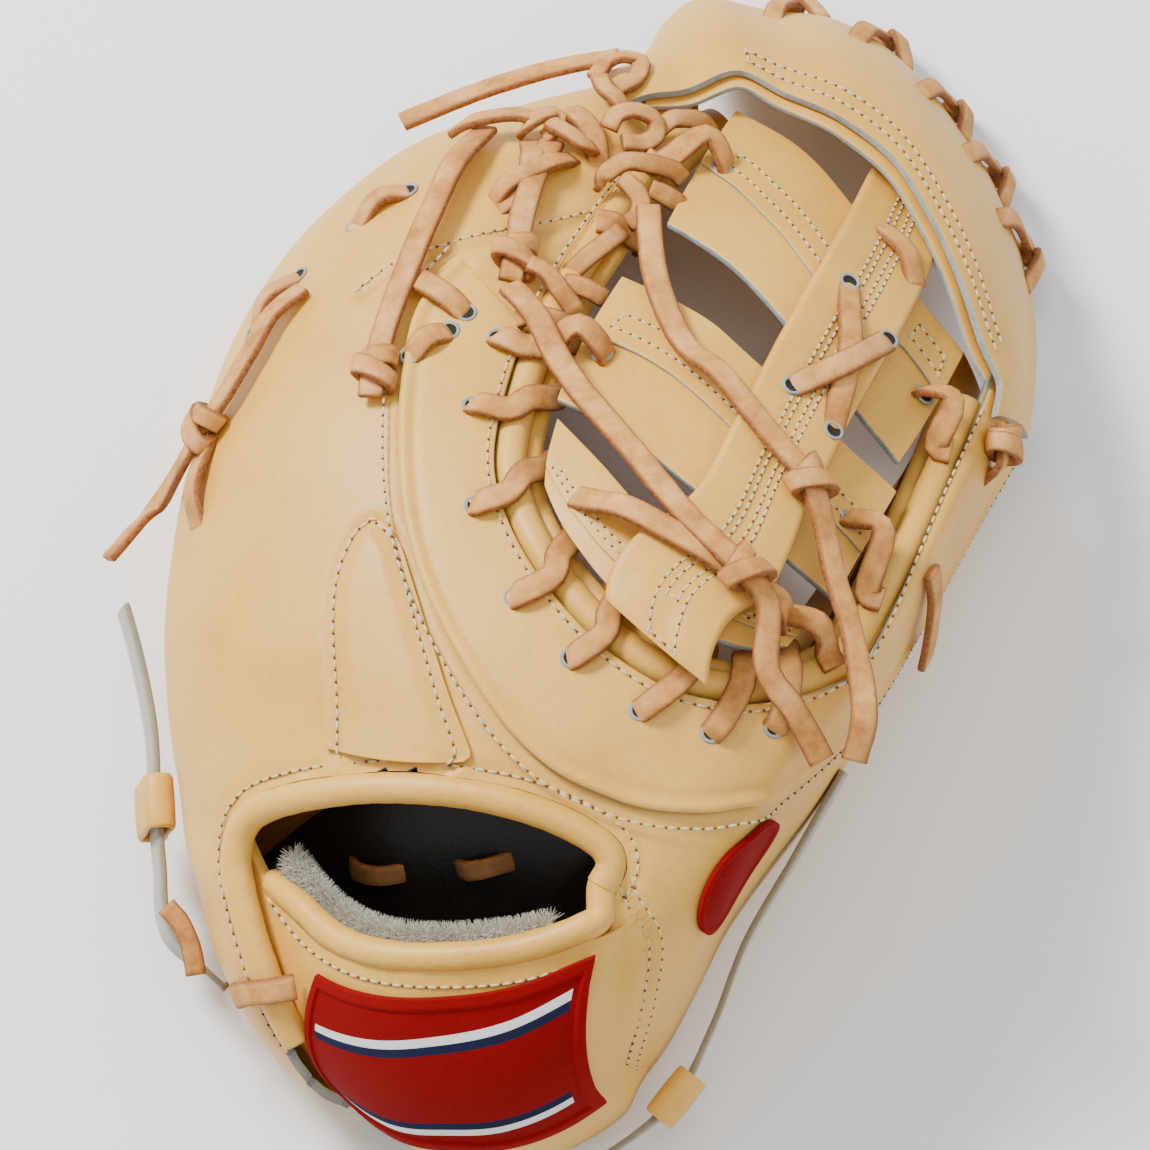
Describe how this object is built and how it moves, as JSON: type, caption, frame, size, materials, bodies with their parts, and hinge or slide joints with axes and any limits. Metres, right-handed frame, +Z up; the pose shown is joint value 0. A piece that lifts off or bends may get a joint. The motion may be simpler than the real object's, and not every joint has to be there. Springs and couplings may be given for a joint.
{
  "type": "first baseman mitt",
  "caption": "Leather first baseman's mitt for the left hand, lying pocket down: padded shell with a laced web, hand opening and wrist strap.",
  "frame": {"origin": "middle of the box's floor, under the mitt", "axes": "+Z up from the surface it lies on to the back of the hand, +Y from the wrist to the finger tips, +X from the little finger to the thumb"},
  "size_m": [0.2427, 0.325, 0.1266],
  "materials": {
    "leather": "smooth blonde steerhide, fine grain, soft sheen",
    "palm_leather": "padded blonde leather, slightly darker inside",
    "lace": "matt pinkish tan rawhide with brown edges",
    "liner": "black soft lining",
    "fleece": "pale grey pile",
    "suede": "olive-grey suede",
    "patch_cloth": "red embroidery"
  },
  "bodies": {
    "root": {"palm_shell": "palm_leather", "hand_liner": "liner", "back_shell": "leather", "opening_roll": "leather", "web_side_panel": "leather", "finger_pad": "leather", "back_binding": "leather", "palm_binding": "leather", "wrist_strap": "leather", "strap_roll": "leather", "strap_fleece": "fleece", "wrist_patch": "patch_cloth", "thumb_patch": "patch_cloth", "web_bar_upper": "leather", "web_bar_lower": "leather", "web_base": "leather", "web_post": "leather", "web_band": "leather", "web_band_lining": "leather", "notch_lace_1": "lace", "notch_lace_2": "lace", "notch_lace_3": "lace", "notch_lace_4": "lace", "notch_lace_5": "lace", "notch_lace_6": "lace", "notch_lace_7": "lace", "notch_lace_8": "lace", "bar_lace_upper_left": "lace", "bar_lace_upper_right": "lace", "bar_lace_lower_right": "lace", "bar_lace_base_right": "lace", "post_lace_top": "lace", "post_lace_cross": "lace", "web_lace_upper": "lace", "web_lace_lower": "lace", "rim_lace_1": "lace", "rim_lace_2": "lace", "rim_lace_3": "lace", "rim_lace_4": "lace", "rim_lace_5": "lace", "tip_lace_long": "lace", "seam_lace": "lace", "tip_lace_short": "lace", "tip_lace_side": "lace", "tip_lace_free": "lace", "notch_lace_tip": "lace", "pinky_lace_upper": "lace", "pinky_lace_middle": "lace", "pinky_lace_tail": "lace", "heel_lace": "lace", "thumb_lace_knotted": "lace", "thumb_lace_free": "lace", "pinky_strap": "suede", "thumb_strap": "suede", "pinky_keeper": "leather", "thumb_keeper": "leather"}
  },
  "joints": []
}
